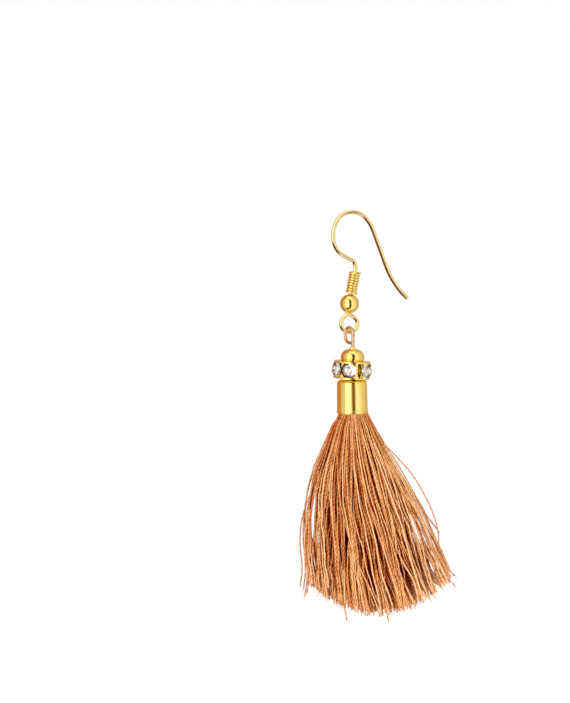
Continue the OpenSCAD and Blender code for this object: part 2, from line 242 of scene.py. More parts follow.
def thread_material():
    """Twisted rayon: a tone at each point of each thread, which holds painted shade and light, painted
    shade in the grooves between its plies, a painted highlight on their ridges, and fine fibres.
    """
    material, tree, shader = new_material("thread")
    tone = add(tree, "ShaderNodeAttribute", attribute_name="tone").outputs["Fac"]
    uv = add(tree, "ShaderNodeTexCoord").outputs["UV"]
    uv = add(tree, "ShaderNodeSeparateXYZ", {"Vector": uv}).outputs
    along, around = uv["X"], uv["Y"]
    mottle = noise(tree, millimetres(tree), *MOTTLE_NOISE)
    mottle = calc(tree, "MULTIPLY_ADD", mottle, MOTTLE, -MOTTLE / 2)
    turn = calc(tree, "SUBTRACT", calc(tree, "DIVIDE", along, PLY_TWIST), around)
    plies = calc(tree, "ABSOLUTE", calc(tree, "SINE", calc(tree, "MULTIPLY", turn, TURN)))
    # Painted shade in the grooves between the plies, and a painted highlight on their ridges.
    inside = calc(tree, "SUBTRACT", 1.0, step_between(tree, plies, 0.0, PLY_EDGE))
    groove = calc(tree, "MULTIPLY", inside, GROOVE_SHADE)
    ridge = calc(tree, "MULTIPLY", step_between(tree, plies, PLY_EDGE, 1.0), RIDGE_HIGHLIGHT)
    lit = calc(tree, "ADD", calc(tree, "ADD", tone, mottle), calc(tree, "ADD", groove, ridge))
    ramp = add(tree, "ShaderNodeValToRGB", {"Fac": lit})
    stops = ramp.color_ramp.elements
    stops[0].position, stops[0].color = THREAD_TONES[0]
    stops[1].position, stops[1].color = THREAD_TONES[-1]
    for position, colour in THREAD_TONES[1:-1]:
        stops.new(position).color = colour
    fibre = calc(tree, "ADD", calc(tree, "MULTIPLY", along, FIBRES_ALONG),
                 calc(tree, "MULTIPLY", around, FIBRES_ROUND))
    fibre = calc(tree, "SINE", calc(tree, "MULTIPLY", fibre, TURN))
    height = calc(tree, "MULTIPLY_ADD", fibre, FIBRE_H, plies)
    bump = add(tree, "ShaderNodeBump", {"Height": height, "Strength": THREAD_BUMP,
                                        "Distance": THREAD_BUMP_H})
    put(tree, shader, {"Base Color": ramp.outputs["Color"], "Normal": bump.outputs["Normal"],
                       **THREAD_GLOSS})
    return material


# ---- Meshes ----


def add_object(name, data):
    made = bpy.data.objects.new(name, data)
    bpy.context.scene.collection.objects.link(made)
    return made


def mesh_piece(name, points, faces, materials, body, replaced, smooth=True, face_slots=None):
    """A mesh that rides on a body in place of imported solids. points are in metres."""
    mesh = bpy.data.meshes.new(name)
    mesh.from_pydata([tuple(p) for p in points], [], [tuple(f) for f in faces])
    piece = add_object(name, mesh)
    for material in materials:
        mesh.materials.append(material)
    mesh.polygons.foreach_set("use_smooth", [smooth] * len(mesh.polygons))
    if face_slots is not None:
        mesh.polygons.foreach_set("material_index", face_slots)
    mesh.update()
    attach(piece, body)
    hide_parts(*replaced)


def tube(path, radius, sides):
    """Points and faces of a tube along path, an array of points, with one radius or one at each."""
    radius = np.broadcast_to(radius, len(path))
    run = np.gradient(path, axis=0)
    run /= np.linalg.norm(run, axis=1)[:, None]
    side = np.cross(run[0], (0.3, 1.0, 0.2))
    points = []
    for here, ahead, r in zip(path, run, radius):
        side = side - ahead * side.dot(ahead)
        side /= np.linalg.norm(side)
        other = np.cross(ahead, side)
        for j in range(sides):
            a = TURN * j / sides
            points.append(here + r * (math.cos(a) * side + math.sin(a) * other))
    last = (len(path) - 1) * sides
    faces = [(k * sides + j, k * sides + (j + 1) % sides, (k + 1) * sides + (j + 1) % sides,
              (k + 1) * sides + j) for k in range(len(path) - 1) for j in range(sides)]
    faces.append(tuple(range(sides - 1, -1, -1)))
    faces.append(tuple(range(last, last + sides)))
    return points, faces


def box_middle(name):
    low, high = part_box(name)
    return (low + high) / 2


# ---- Ear wire and coil ----

# The hook's wire, in millimetres: straight length, then the radius and turn of a bend in degrees,
# clockwise positive. It runs from the top of the arch, down the front to the neck of the ring, and
# from the top of the arch down the tail.
WIRE_D = 0.6
FRONT = [(0, 2.646, -60), (0, 4.2525, -30), (0.5355, 3.0681, -62), (1.449, 0.6489, 43), (0, 2.646, 29),
         (6.4197, 0, 0)]
TAIL = [(0, 2.7405, 50), (0, 6.3, 20), (5.7, 12.6, -27)]
# The ring: radius of its round part, the two straight sides that meet in its point, and how they
# slope. The point lies up in the foot of the bead, where the solid has a short neck.
RING_R, RING_SIDE, RING_SLOPE, RING_UPRIGHT = 1.25, 1.0551, 49.83, 17.86
WIRE_SIDES, BEND_STEP, BEND_FEWEST = 24, 0.15, 8
# The rounded end of the wire: rings this far past it, with these shares of the radius.
END_PAST, END_SHARE = (0.06, 0.04), (0.45, 0.85)

COIL_L, COIL_D, COIL_WIRE = 3.6 * MM, 1.74 * MM, 0.36 * MM
COIL_TURNS, COIL_STEPS, COIL_SIDES = 8, 40, 12
# The coil's ends stand off by this much, from this share of its length beside the middle, over the
# last share.
COIL_OFF, COIL_TIGHT, COIL_END = 0.07 * MM, 0.47, 0.03
STEM_LEAN = 10.0


def bent(x, z, heading, rows):
    """Points of a wire in the plane of the hook, and its last heading. A heading of 0 is up."""
    points = [(x, z)]
    for length, radius, turn in rows:
        steps = max(1, round(length / BEND_STEP))
        for _ in range(steps if length else 0):
            x += length / steps * math.sin(math.radians(heading))
            z += length / steps * math.cos(math.radians(heading))
            points.append((x, z))
        steps = max(BEND_FEWEST, round(math.radians(abs(turn)) * radius / BEND_STEP))
        chord = 2 * radius * math.sin(math.radians(abs(turn)) / steps / 2)
        for _ in range(steps if radius else 0):
            heading += turn / steps / 2
            x += chord * math.sin(math.radians(heading))
            z += chord * math.cos(math.radians(heading))
            heading += turn / steps / 2
            points.append((x, z))
    return points, heading


def in_frame(points):
    """Points of the hook's plane, in millimetres, as an array of places in metres."""
    return np.array([(x, 0, z) for x, z in points]) * MM


def hook_wire(material):
    """The ear wire as one smooth tube, with a rounded end, and the ring below it."""
    front, heading = bent(0, WIRE_D / 2, -90, FRONT)
    tail, _ = bent(0, WIRE_D / 2, 90, TAIL)
    rows = [(RING_SIDE, RING_R, 180 + 2 * RING_SLOPE), (RING_SIDE, 0, 0)]
    ring, _ = bent(*front[-1], heading - RING_UPRIGHT - RING_SLOPE, rows)
    wire = in_frame(tail[::-1] + front[1:])
    run = (wire[0] - wire[1]) / np.linalg.norm(wire[0] - wire[1])
    radius = np.array([*END_SHARE, *np.ones(len(wire))]) * WIRE_D / 2 * MM
    wire = np.concatenate([[wire[0] + run * past * MM for past in END_PAST], wire])
    points, faces = [], []
    for path, thick in ((wire, radius), (in_frame(ring), WIRE_D / 2 * MM)):
        more, sides = tube(path, thick, WIRE_SIDES)
        faces += [tuple(i + len(points) for i in side) for side in sides]
        points += more
    mesh_piece("wire", points, faces, [material], "hook", ["ear_hook"])


def coil(material):
    """The wrapped wire round the stem. Its two ends stand off a little."""
    steps = COIL_STEPS * COIL_TURNS
    radius = (COIL_D - COIL_WIRE) / 2
    path = []
    for k in range(steps + 1):
        share = k / steps
        a = TURN * COIL_TURNS * share
        loose = max(0.0, abs(share - 0.5) - COIL_TIGHT) / COIL_END
        out = radius + COIL_OFF * loose ** 2
        path.append((out * math.cos(a), out * math.sin(a), (0.5 - share) * (COIL_L - COIL_WIRE)))
    points, faces = tube(np.array(path), COIL_WIRE / 2, COIL_SIDES)
    lean = Matrix.Translation(box_middle("hook_coil")) @ Matrix.Rotation(math.radians(STEM_LEAN), 4, "Y")
    points = [lean @ Vector(p) for p in points]
    mesh_piece("coil_wire", points, faces, [material], "hook", ["hook_coil"])


# ---- Stones ----

STONES = sorted(n for n in NODES if n.startswith("stone_"))
# The stones fill their setting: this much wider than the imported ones.
STONE_FILL = 1.04
# Corners of a stone's table and of its girdle.
FOLD, RIM = 8, 16
# Sections of a cut stone, from the table to the pavilion: radius as a share of the diameter, depth as
# a share of the height, first angle in steps of a sixteenth of a turn, and number of corners.
CUT = [
    (0.300, 0.00, 0, FOLD),
    (0.415, 0.13, 1, FOLD),
    (0.500, 0.28, 0, RIM),
    (0.500, 0.33, 0, RIM),
    (0.200, 0.74, 0, FOLD)]


def stone_axis(name):
    """Middle of a stone's table, the way it faces, and its height and diameter."""
    co = np.array([v.co for v in NODES[name].data.vertices], float)
    middle = co.mean(0)
    axis = np.linalg.svd(co - middle)[2][2]
    if axis.dot(middle - np.array(box_middle("rondelle"))) < 0:
        axis = -axis
    along = (co - middle) @ axis
    wide = 2 * STONE_FILL * np.linalg.norm(co - middle - np.outer(along, axis), axis=1).max()
    return middle + axis * along.max(), axis, np.ptp(along), wide


def stone(name, crystal, foil):
    """A round brilliant with a silvered back."""
    table, axis, height, wide = stone_axis(name)
    points, starts = [], []
    for radius, depth, shift, corners in CUT:
        starts.append(len(points))
        for i in range(corners):
            a = TURN * (i * RIM / corners + shift) / RIM
            points.append((radius * wide * math.cos(a), radius * wide * math.sin(a), -depth * height))
    tip = len(points)
    points.append((0, 0, -height))
    t, s, g, b, p = starts
    faces = [tuple(range(t, t + FOLD))]
    for i in range(FOLD):
        after = (i + 1) % FOLD
        faces.append((t + i, s + i, t + after))
        faces.append((t + after, s + i, g + (2 * i + 2) % RIM, s + after))
        faces.append((s + i, g + 2 * i, g + 2 * i + 1))
        faces.append((s + i, g + 2 * i + 1, g + (2 * i + 2) % RIM))
    for i in range(RIM):
        faces.append((g + i, b + i, b + (i + 1) % RIM, g + (i + 1) % RIM))
    crown = len(faces)
    for i in range(FOLD):
        after = (i + 1) % FOLD
        faces.append((b + 2 * i, p + i, b + 2 * i + 1))
        faces.append((b + 2 * i + 1, p + after, b + (2 * i + 2) % RIM))
        faces.append((b + 2 * i + 1, p + i, tip, p + after))
    turn = Vector(axis).to_track_quat("Z", "X").to_matrix()
    points = [turn @ Vector(q) + Vector(table) for q in points]
    slots = [0] * crown + [1] * (len(faces) - crown)
    mesh_piece(name.replace("stone_", "crystal_"), points, faces, [crystal, foil], "drop",
               [name], smooth=False, face_slots=slots)


# ---- The skirt of threads ----

# How the drop hangs: the lean of the drop, the pin and the cap, in degrees.
DROP_LEAN, PIN_LEAN, CAP_LEAN = 2.226, 1.5, 2.5
CAP_H = 5.1 * MM

# The skirt, in millimetres from the foot of the cap: length, width and depth of its outline, how far
# it swings to the right, and how far its hem rises to the sides. Past HEM_EDGE, as a share of half
# the width, the hem rises no further.
SKIRT_L, SKIRT_W, SKIRT_DEEP = 29.8, 22.2, 15.6
SKIRT_SWING, HEM_RISE, HEM_EDGE = 3.5, 4.6, 1.05
# Its outline: share of the length, then the shares of the width, depth and swing.
SKIRT = np.array([
    [0.00, 0.210, 0.295, 0.00],
    [0.11, 0.330, 0.400, 0.00],
    [0.22, 0.460, 0.510, 0.03],
    [0.32, 0.580, 0.610, 0.09],
    [0.45, 0.700, 0.720, 0.20],
    [0.60, 0.820, 0.830, 0.40],
    [0.80, 0.920, 0.930, 0.64],
    [1.00, 1.000, 1.000, 1.00]])
WIDTH, DEPTH, SWING = 1, 2, 3

# The threads: their number, the pieces that they are shared out to, the rings along each, and the
# corners of a ring. Then the seeds of the random draws.
THREADS, THREAD_PIECES, THREAD_RINGS, THREAD_SIDES = 800, 5, 84, 6
THREAD_SEED, CRIMP_SEED = 11, 5
# Radius of a thread in the cap and below it, in millimetres, the share of its length where it is
# full, and the least and the most of it that a thread has.
THREAD_R_CAP, THREAD_R, THREAD_FULL, THREAD_UNEVEN = 0.070, 0.108, 0.45, (0.84, 1.14)
# Length of one twist in millimetres, and how far the two plies stand out, as a share of the radius.
TWIST, PLY_OUT = 2.6, 0.14

# Where threads lie in the cap: the power of their spread and the spread of their angle.
GOLDEN = math.pi * (3 - math.sqrt(5))
SPREAD, SPREAD_ANGLE = 0.40, 0.05
# Share of loose threads, then how far loose and held threads turn on the way down, in radians.
LOOSE, LOOSE_CROSS, HELD_CROSS = 0.45, 0.26, 0.14
# Spread and limits of the place outwards at the hem, and how much further out the threads lie that
# turn by more than the last value.
OUT_SPREAD, OUT_LIMITS, OUT_OVER, OUT_OVER_FROM = 0.13, (0.02, 1.0), 0.03, 0.2
# Clumps: their number, the power of their spread, their first angle and the spread of it.
CLUMPS, CLUMP_POWER, CLUMP_ANGLE, CLUMP_SPREAD = 150, 0.42, 0.7, 0.16
# How far threads gather in their clump and sink in with it, the shares of this for loose threads,
# and the power of the gathering along the length.
GATHER, SINK = (0.0, 0.25), (-0.02, 0.13)
GATHER_LOOSE, SINK_LOOSE, GATHER_POWER = 0.2, 0.0, 0.8
# Shares of the length: the spread by which threads end short of the longest one, how far that one
# goes past the hem, what is in the cap, and where the way out and the gathering come to their end.
END_SHORT, END_PAST_HEM, IN_CAP = 0.028, 0.014, 0.05
MOVED_AT, GATHERED_AT = 1.05, 1.04
# Waves of the threads, of a clump sideways, then of each thread sideways and outwards: the least and
# the most waves in the length, and the height in millimetres. Then the most that a wave has of its
# height, and the power by which all grow from the cap on.
CLUMP_SWAY = (0.3, 0.8, 0.08)
SIDE_SWAY, SIDE_WAVE, SIDE_CRIMP = (0.5, 1.5, 0.29), (1.8, 3.6, 0.10), (5, 10, 0.05)
OUT_SWAY, OUT_WAVE, OUT_CRIMP = (0.7, 1.7, 0.38), (1.8, 3.0, 0.10), (5, 10, 0.07)
WAVE_MOST, WAVE_POWER = 1.8, 0.8
# Share of what lies past the outline that stays past it.
PAST_KEPT = 0.3
# The threads are squeezed by this share in the cap, and less down to this share of the length.
SQUEEZE, SQUEEZE_TO = 0.20, 0.07

# Slits between the threads near the sides: share of the width, half width, first and last share of
# the length. Threads make room for a slit, and at SLIT_REACH from it about a third as much.
SLITS = [
    (-0.850, 0.038, 0.38, 0.78),
    (-0.935, 0.022, 0.52, 0.88),
    (-0.770, 0.018, 0.60, 0.78),
    (-0.840, 0.020, 0.76, 0.95),
    (-0.690, 0.013, 0.64, 0.77),
    (-0.720, 0.015, 0.80, 0.92),
    (-0.920, 0.015, 0.86, 0.97),
    (0.800, 0.025, 0.52, 0.80),
    (0.875, 0.022, 0.56, 0.84),
    (0.935, 0.015, 0.62, 0.86),
    (0.740, 0.015, 0.62, 0.77),
    (0.685, 0.012, 0.70, 0.82),
    (0.765, 0.016, 0.81, 0.93),
    (0.835, 0.015, 0.83, 0.95),
    (0.905, 0.016, 0.85, 0.96)]
SLIT_REACH = 0.12

# Tones of the threads: in the cap, what is added below it, and the spread. The skirt's sides get
# painted light, its right side more so. Threads inside it get painted shade, but less at its sides and
# at the hem.
TONE_CAP, TONE_BELOW, TONE_SPREAD = 0.67, 0.11, 0.15
PAINTED_SIDE_LIGHT, PAINTED_RIGHT_LIGHT = 0.24, 0.05
PAINTED_BURIED_SHADE, BURIED_LESS_SIDE, BURIED_LESS_HEM = 0.58, 0.7, 0.8
# First value and length of a change: down the length and outwards.
BELOW_CAP, SIDE_DOWN, HEM, HEM_SKIN = (0, 0.5), (0, 0.35), (0.80, 0.15), (0.74, 0.20)
SIDE_OUT, BURIED_IN, OUTERMOST = (0.50, 0.40), (0.98, -0.36), (0.90, 0.10)
# A thread's skin gets painted shade on its inner side: what its inner side loses, from which facing on,
# the most of the difference and its power, and how much less it loses on the outermost threads and at
# the hem.
SKIN_SHADE, SKIN_FROM, SKIN_MOST, SKIN_POWER = 0.46, 0.8, 1.2, 1.3
SKIN_LESS_OUT, SKIN_LESS_HEM = 0.6, 0.7

# Single threads that stray from the skirt, in millimetres from the foot of the cap: x, y, z.
STRAYS = [
    [(-1.9, -0.6, 0.5), (-3.9, -1.2, -5.2), (-6.4, -1.4, -11.4), (-7.9, -1.0, -15.6),
     (-8.35, -0.8, -19.5), (-8.1, -0.8, -23.4), (-8.45, -0.9, -26.3)],
    [(-1.8, 0.7, 0.5), (-3.7, 1.3, -5.0), (-6.0, 2.2, -11.0), (-7.1, 2.2, -17.5),
     (-7.3, 2.0, -22.5), (-7.3, 1.8, -25.2), (-7.75, 1.9, -28.2)],
    [(-1.9, 0.2, 0.5), (-3.9, 0.5, -5.0), (-6.3, 0.9, -9.5), (-7.55, 1.0, -14.6),
     (-7.85, 0.9, -19.2), (-7.6, 0.8, -23.6), (-7.9, 0.8, -26.8)],
    [(-1.9, 0.4, 0.5), (-3.8, -0.9, -5.1), (-6.1, -1.6, -10.2), (-7.15, -1.8, -15.8),
     (-7.35, -1.6, -21.0), (-7.0, -1.5, -24.0), (-7.4, -1.5, -27.2)],
    [(1.9, -0.6, 0.5), (4.0, -1.1, -3.8), (6.5, -1.5, -6.6), (9.0, -1.6, -9.6),
     (10.9, -1.4, -13.0), (12.0, -1.2, -15.6), (12.65, -1.1, -18.2), (12.75, -1.2, -20.9)],
    [(1.8, 0.6, 0.5), (4.3, 1.2, -5.0), (7.6, 2.0, -10.6), (10.4, 2.2, -15.1), (12.9, 2.0, -18.6)],
    [(2.0, 0.1, 0.5), (5.0, 0.4, -5.8), (8.6, 0.9, -12.8), (11.6, 1.0, -19.0),
     (13.6, 0.9, -23.2), (15.1, 0.8, -25.3)],
    [(1.7, -1.0, 0.5), (4.4, -2.0, -6.2), (8.0, -2.9, -13.6), (11.0, -2.8, -19.6),
     (13.5, -2.4, -24.6), (15.0, -2.2, -26.3)],
    [(-0.5, -1.8, 0.5), (-1.0, -3.9, -9.0), (-1.7, -5.0, -20.0), (-1.9, -5.2, -27.5),
     (-1.45, -5.1, -31.0)],
    [(0.8, -1.7, 0.5), (1.7, -3.8, -9.0), (3.2, -4.9, -20.0), (4.3, -5.0, -28.0), (4.8, -5.0, -31.2)]]
STRAY_RINGS, STRAY_R, STRAY_TONE = 60, 0.095, 0.62

# Fibres that fray at the end of each thread: number, rings, sides, and the share of their length that
# lies back in the thread. Their length, and their radius at the foot and the tip, in millimetres, and
# how uneven the radius is. The spreads of their way and their bend, as shares of the length, and of
# their place, in millimetres. Their tones.
FRAYS, FRAY_RINGS, FRAY_SIDES, FRAY_BACK = 2, 5, 4, -0.3
FRAY_L, FRAY_R, FRAY_UNEVEN = (0.2, 0.8), (0.036, 0.016), (0.8, 1.2)
FRAY_WAY, FRAY_BEND, FRAY_OFF = 0.20, 0.25, 0.045
FRAY_TONES = (0.55, 0.95)


def rise(x, first, length):
    """0 up to first and 1 from there on by length, smooth between."""
    x = np.clip((x - first) / length, 0, 1)
    return x * x * (3 - 2 * x)


def outline(t, column):
    return np.interp(t, SKIRT[:, 0], SKIRT[:, column])


def on_skirt(t, across, deep):
    """Places at share t of the length, from shares of the outline across and deep, in millimetres."""
    x = SKIRT_SWING * outline(t, SWING) + across * SKIRT_W / 2 * outline(t, WIDTH)
    y = deep * SKIRT_DEEP / 2 * outline(t, DEPTH)
    z = -t * (SKIRT_L - HEM_RISE * np.clip(across, -HEM_EDGE, HEM_EDGE) ** 2)
    return np.stack([x, y, z], axis=-1)


def spiral(count, power):
    """Distance from the middle and angle of points spread over a disc."""
    number = np.arange(count)
    return ((number + 0.5) / count) ** power, number * GOLDEN


def polar(out, angle):
    return np.stack([out * np.cos(angle), out * np.sin(angle)], axis=-1)


def waves(rng, group, t, low, high, size):
    """A sine along each thread, growing from the cap. Threads of one group share it."""
    count = group.max() + 1
    number = rng.uniform(low, high, (count, 1))[group]
    phase = rng.uniform(0, TURN, (count, 1))[group]
    height = size * rng.normal(0, 1, (count, 1)).clip(-WAVE_MOST, WAVE_MOST)[group]
    return height * (np.sin(TURN * number * t + phase) - np.sin(phase)) * np.clip(t, 0, 1) ** WAVE_POWER


def open_slits(t, across):
    """Moves the threads aside from the slits. Each thread stays on one side of each slit."""
    for middle, half, low, high in SLITS:
        u = (t - (low + high) / 2) / ((high - low) / 2)
        inside = np.abs(u) < 1
        mean = (across * inside).sum(1) / np.maximum(inside.sum(1), 1)
        side = np.where(mean < middle, -1.0, 1.0)[:, None]
        near = np.exp(-((mean - middle) / SLIT_REACH) ** 2)[:, None]
        across = across + side * near * np.maximum(0, half * (1 - u * u) - side * (across - middle))
    return across


def thread_ends(rng):
    """Where each thread lies in the cap and at the hem, on a disc of radius 1, the number and the
    middle of its clump, and how far it gathers there and sinks in."""
    out, angle = spiral(THREADS, SPREAD)
    angle = angle + rng.normal(0, SPREAD_ANGLE, THREADS)
    start = polar(out, angle)
    loose = rng.random(THREADS) < LOOSE
    cross = np.where(loose, rng.normal(0, LOOSE_CROSS, THREADS), rng.normal(0, HELD_CROSS, THREADS))
    out_end = (np.clip(out + rng.normal(0, OUT_SPREAD, THREADS), *OUT_LIMITS)
               + OUT_OVER * (np.abs(cross) > OUT_OVER_FROM))
    end = polar(out_end, angle + cross)
    mid_out, mid_angle = spiral(CLUMPS, CLUMP_POWER)
    mids = polar(mid_out, mid_angle + CLUMP_ANGLE + rng.normal(0, CLUMP_SPREAD, CLUMPS))
    clump = np.linalg.norm(start[:, None] - mids[None], axis=-1).argmin(1)
    hold = rng.uniform(*GATHER, CLUMPS)[clump] * np.where(loose, GATHER_LOOSE, 1.0)
    sunk = rng.uniform(*SINK, CLUMPS)[clump] * np.where(loose, SINK_LOOSE, 1.0)
    return start, end, clump, mids[clump], hold, sunk


def gathered(start, end, middle, hold, sunk, down):
    """Places on the disc at shares down of the length."""
    moved = rise(down, 0, MOVED_AT)[..., None]
    plane = start[:, None] * (1 - moved) + end[:, None] * moved
    bulge = np.sin(math.pi * np.clip(down / GATHERED_AT, 0, 1))
    pull = (hold[:, None] * bulge ** GATHER_POWER)[..., None]
    plane = plane * (1 - pull) + middle[:, None] * pull
    return plane * (1 - sunk[:, None] * bulge)[..., None]


def waved(rng, plane, clump, end, down):
    """Places on the disc with the threads' waves added, as shares across and deep."""
    number = np.arange(THREADS)
    crimp = np.random.default_rng(CRIMP_SEED)
    lateral = (waves(rng, clump, down, *CLUMP_SWAY) + waves(rng, number, down, *SIDE_SWAY)
               + waves(rng, number, down, *SIDE_WAVE) + waves(crimp, number, down, *SIDE_CRIMP))
    radial = (waves(rng, number, down, *OUT_SWAY) + waves(rng, number, down, *OUT_WAVE)
              + waves(crimp, number, down, *OUT_CRIMP))
    heading = np.arctan2(end[:, 1], end[:, 0])[:, None]
    half_w, half_deep = SKIRT_W / 2 * outline(down, WIDTH), SKIRT_DEEP / 2 * outline(down, DEPTH)
    across = plane[..., 0] + (-np.sin(heading) * lateral + np.cos(heading) * radial) / half_w
    deep = plane[..., 1] + (np.cos(heading) * lateral + np.sin(heading) * radial) / half_deep
    return across, deep


def thread_tones(rng, down, across, reach):
    """A tone for each point, from its share of the length, its share across and its reach outwards, with
    painted shade inside the skirt and painted light at its sides.
    """
    # Painted shade on the threads inside the skirt, and painted light at its sides, more on the right.
    buried_shade = rise(reach, *BURIED_IN) * (1 - BURIED_LESS_HEM * rise(down, *HEM))
    side = rise(np.abs(across), *SIDE_OUT) * rise(down, *SIDE_DOWN)
    light = TONE_CAP + TONE_BELOW * rise(down, *BELOW_CAP) + TONE_SPREAD * rng.normal(0, 1, (THREADS, 1))
    return (light + (PAINTED_SIDE_LIGHT + PAINTED_RIGHT_LIGHT * np.sign(across)) * side
            - PAINTED_BURIED_SHADE * buried_shade * (1 - BURIED_LESS_SIDE * side))


def thread_paths(rng):
    """Centre lines of all threads, in millimetres from the foot of the cap, and a tone and a place on
    the skirt's section for each point."""
    start, end, clump, middle, hold, sunk = thread_ends(rng)
    last = 1 - np.abs(rng.normal(0, END_SHORT, THREADS)) + END_PAST_HEM
    t = np.linspace(0, 1, THREAD_RINGS)[None] * (last[:, None] + IN_CAP) - IN_CAP
    down = np.clip(t, 0, None)
    plane = gathered(start, end, middle, hold, sunk, down)
    across, deep = waved(rng, plane, clump, end, down)
    reach = np.hypot(across, deep)
    kept = np.where(reach > 1, (1 + PAST_KEPT * (reach - 1)) / reach, 1.0)
    across, deep, reach = across * kept, deep * kept, reach * kept
    across = open_slits(down, across)

    squeeze = 1 - SQUEEZE + SQUEEZE * rise(t, 0, SQUEEZE_TO)
    path = on_skirt(down, across * squeeze, deep * squeeze)
    path[..., 2] -= np.minimum(t, 0) * SKIRT_L
    return path, thread_tones(rng, down, across, reach), np.stack([across, deep], axis=-1)


def smooth_curve(points, count):
    """A smooth line with count points through the given ones."""
    points = np.array(points, float)
    padded = np.concatenate([2 * points[:1] - points[1:2], points, 2 * points[-1:] - points[-2:-1]])
    u = np.linspace(0, len(points) - 1, count)
    i = np.minimum(u.astype(int), len(points) - 2)
    f = (u - i)[:, None]
    a, b, c, d = (padded[i + k] for k in range(4))
    return 0.5 * (2 * b + (c - a) * f + (2 * a - 5 * b + 4 * c - d) * f ** 2
                  + (3 * b - a - 3 * c + d) * f ** 3)


def fray_paths(rng, before, tip):
    """Short fibres that splay from the threads' tips. before is a point further up each thread."""
    way = np.repeat(tip - before, FRAYS, axis=0)
    tip = np.repeat(tip, FRAYS, axis=0)
    way /= np.linalg.norm(way, axis=1)[:, None]
    way = way + rng.normal(0, FRAY_WAY, way.shape)
    bend = rng.normal(0, FRAY_BEND, way.shape)
    off = rng.normal(0, FRAY_OFF, way.shape)
    length = rng.uniform(*FRAY_L, (len(tip), 1))
    u = np.linspace(FRAY_BACK, 1, FRAY_RINGS)[None, :, None]
    return (tip + off)[:, None] + (way * length)[:, None] * u + (bend * length)[:, None] * u * np.abs(u)


def twisted_tubes(path, spin, radius, sides=THREAD_SIDES, plies=PLY_OUT):
    """Points of all threads' skins: two plies that turn as they run. Also the length along each, from
    its spin on, so that the plies of two threads don't lie side by side."""
    run = np.gradient(path, axis=1)
    length = np.linalg.norm(run, axis=2)
    run /= length[..., None]
    along = np.cumsum(length, axis=1)
    side = np.zeros_like(run)
    side[..., 0] = 1
    side -= run * (side * run).sum(-1, keepdims=True)
    side /= np.linalg.norm(side, axis=-1, keepdims=True)
    other = np.cross(run, side)
    a = TURN * np.arange(sides) / sides
    turn = TURN * along / TWIST + spin[:, None]
    r = radius[..., None] * (1 + plies * np.cos(2 * (a - turn[..., None])))
    skin = (path[:, :, None] + r[..., None] * (np.cos(a)[:, None] * side[:, :, None]
                                              + np.sin(a)[:, None] * other[:, :, None]))
    return skin, along + spin[:, None]


def shaded(skin, path, tone, section):
    """Tones of the skins' points, with painted shade: a thread is lightest where it faces out of the
    skirt and darker where it faces in.
    """
    out = skin - path[:, :, None]
    out /= np.linalg.norm(out, axis=-1, keepdims=True)
    away = section * (1 / SKIRT_W, 1 / SKIRT_DEEP)
    away /= np.linalg.norm(away, axis=-1, keepdims=True) + 1e-6
    facing = (out[..., :2] * away[:, :, None]).sum(-1)
    inner = 1 - SKIN_LESS_OUT * rise(np.linalg.norm(section, axis=-1), *OUTERMOST)
    inner = inner * (1 - SKIN_LESS_HEM * rise(-path[..., 2] / SKIRT_L, *HEM_SKIN))
    # Painted shade on the side of each thread that faces into the skirt.
    turned = (SKIN_FROM - facing).clip(0, SKIN_MOST) ** SKIN_POWER
    return tone[..., None] - SKIN_SHADE * turned * inner[..., None]


def foot_of_cap():
    """Matrix from the foot of the cap, with its axis up, to the frame."""
    turn = (Matrix.Rotation(math.radians(PIN_LEAN), 4, "Y")
            @ Matrix.Rotation(math.radians(DROP_LEAN), 4, "X")
            @ Matrix.Rotation(math.radians(-CAP_LEAN), 4, "Y"))
    foot = box_middle("cap") + turn.to_3x3() @ Vector((0, 0, -CAP_H / 2))
    return Matrix.Translation(foot) @ turn


def thread_piece(name, skin, along, tones, place, material):
    """One mesh of many threads, with lengths and turns as its UV map and a tone at each point."""
    count, rings, sides = skin.shape[:3]
    points = skin.reshape(-1, 3) * MM @ np.array(place.to_3x3()).T + np.array(place.translation)
    first = (np.arange(count) * rings * sides)[:, None, None]
    k = (np.arange(rings - 1) * sides)[None, :, None]
    j = np.arange(sides)[None, None]
    after = (j + 1) % sides
    quads = np.stack(np.broadcast_arrays(first + k + j, first + k + after, first + k + sides + after,
                                         first + k + sides + j), axis=-1).reshape(-1, 4)
    ends = np.concatenate([first[:, 0] + np.arange(sides)[None, ::-1],
                           first[:, 0] + (rings - 1) * sides + np.arange(sides)[None]])
    mesh = bpy.data.meshes.new(name)
    mesh.vertices.add(len(points))
    mesh.vertices.foreach_set("co", points.astype(np.float32).ravel())
    corners = np.concatenate([quads.ravel(), ends.ravel()])
    mesh.loops.add(len(corners))
    mesh.loops.foreach_set("vertex_index", corners.astype(np.int32))
    starts = np.concatenate([np.arange(len(quads)) * 4, len(quads) * 4 + np.arange(len(ends)) * sides])
    mesh.polygons.add(len(starts))
    mesh.polygons.foreach_set("loop_start", starts.astype(np.int32))
    mesh.polygons.foreach_set("use_smooth", [True] * len(starts))
    mesh.update(calc_edges=True)
    shape = (count, rings - 1, sides)
    here = np.broadcast_to(along[:, :-1, None], shape)
    there = np.broadcast_to(along[:, 1:, None], shape)
    low = np.broadcast_to(j / sides, shape)
    high = low + 1 / sides
    uv = np.stack([np.stack([here, low], -1), np.stack([here, high], -1), np.stack([there, high], -1),
                   np.stack([there, low], -1)], axis=-2).reshape(-1, 2)
    uv = np.concatenate([uv, np.zeros((ends.size, 2))])
    mesh.uv_layers.new(name="UVMap").data.foreach_set("uv", uv.astype(np.float32).ravel())
    shade = mesh.attributes.new("tone", "FLOAT", "POINT")
    shade.data.foreach_set("value", np.broadcast_to(tones, skin.shape[:3]).astype(np.float32).ravel())
    mesh.materials.append(material)
    mesh.validate()
    piece = add_object(name, mesh)
    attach(piece, "drop")
    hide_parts("tassel")


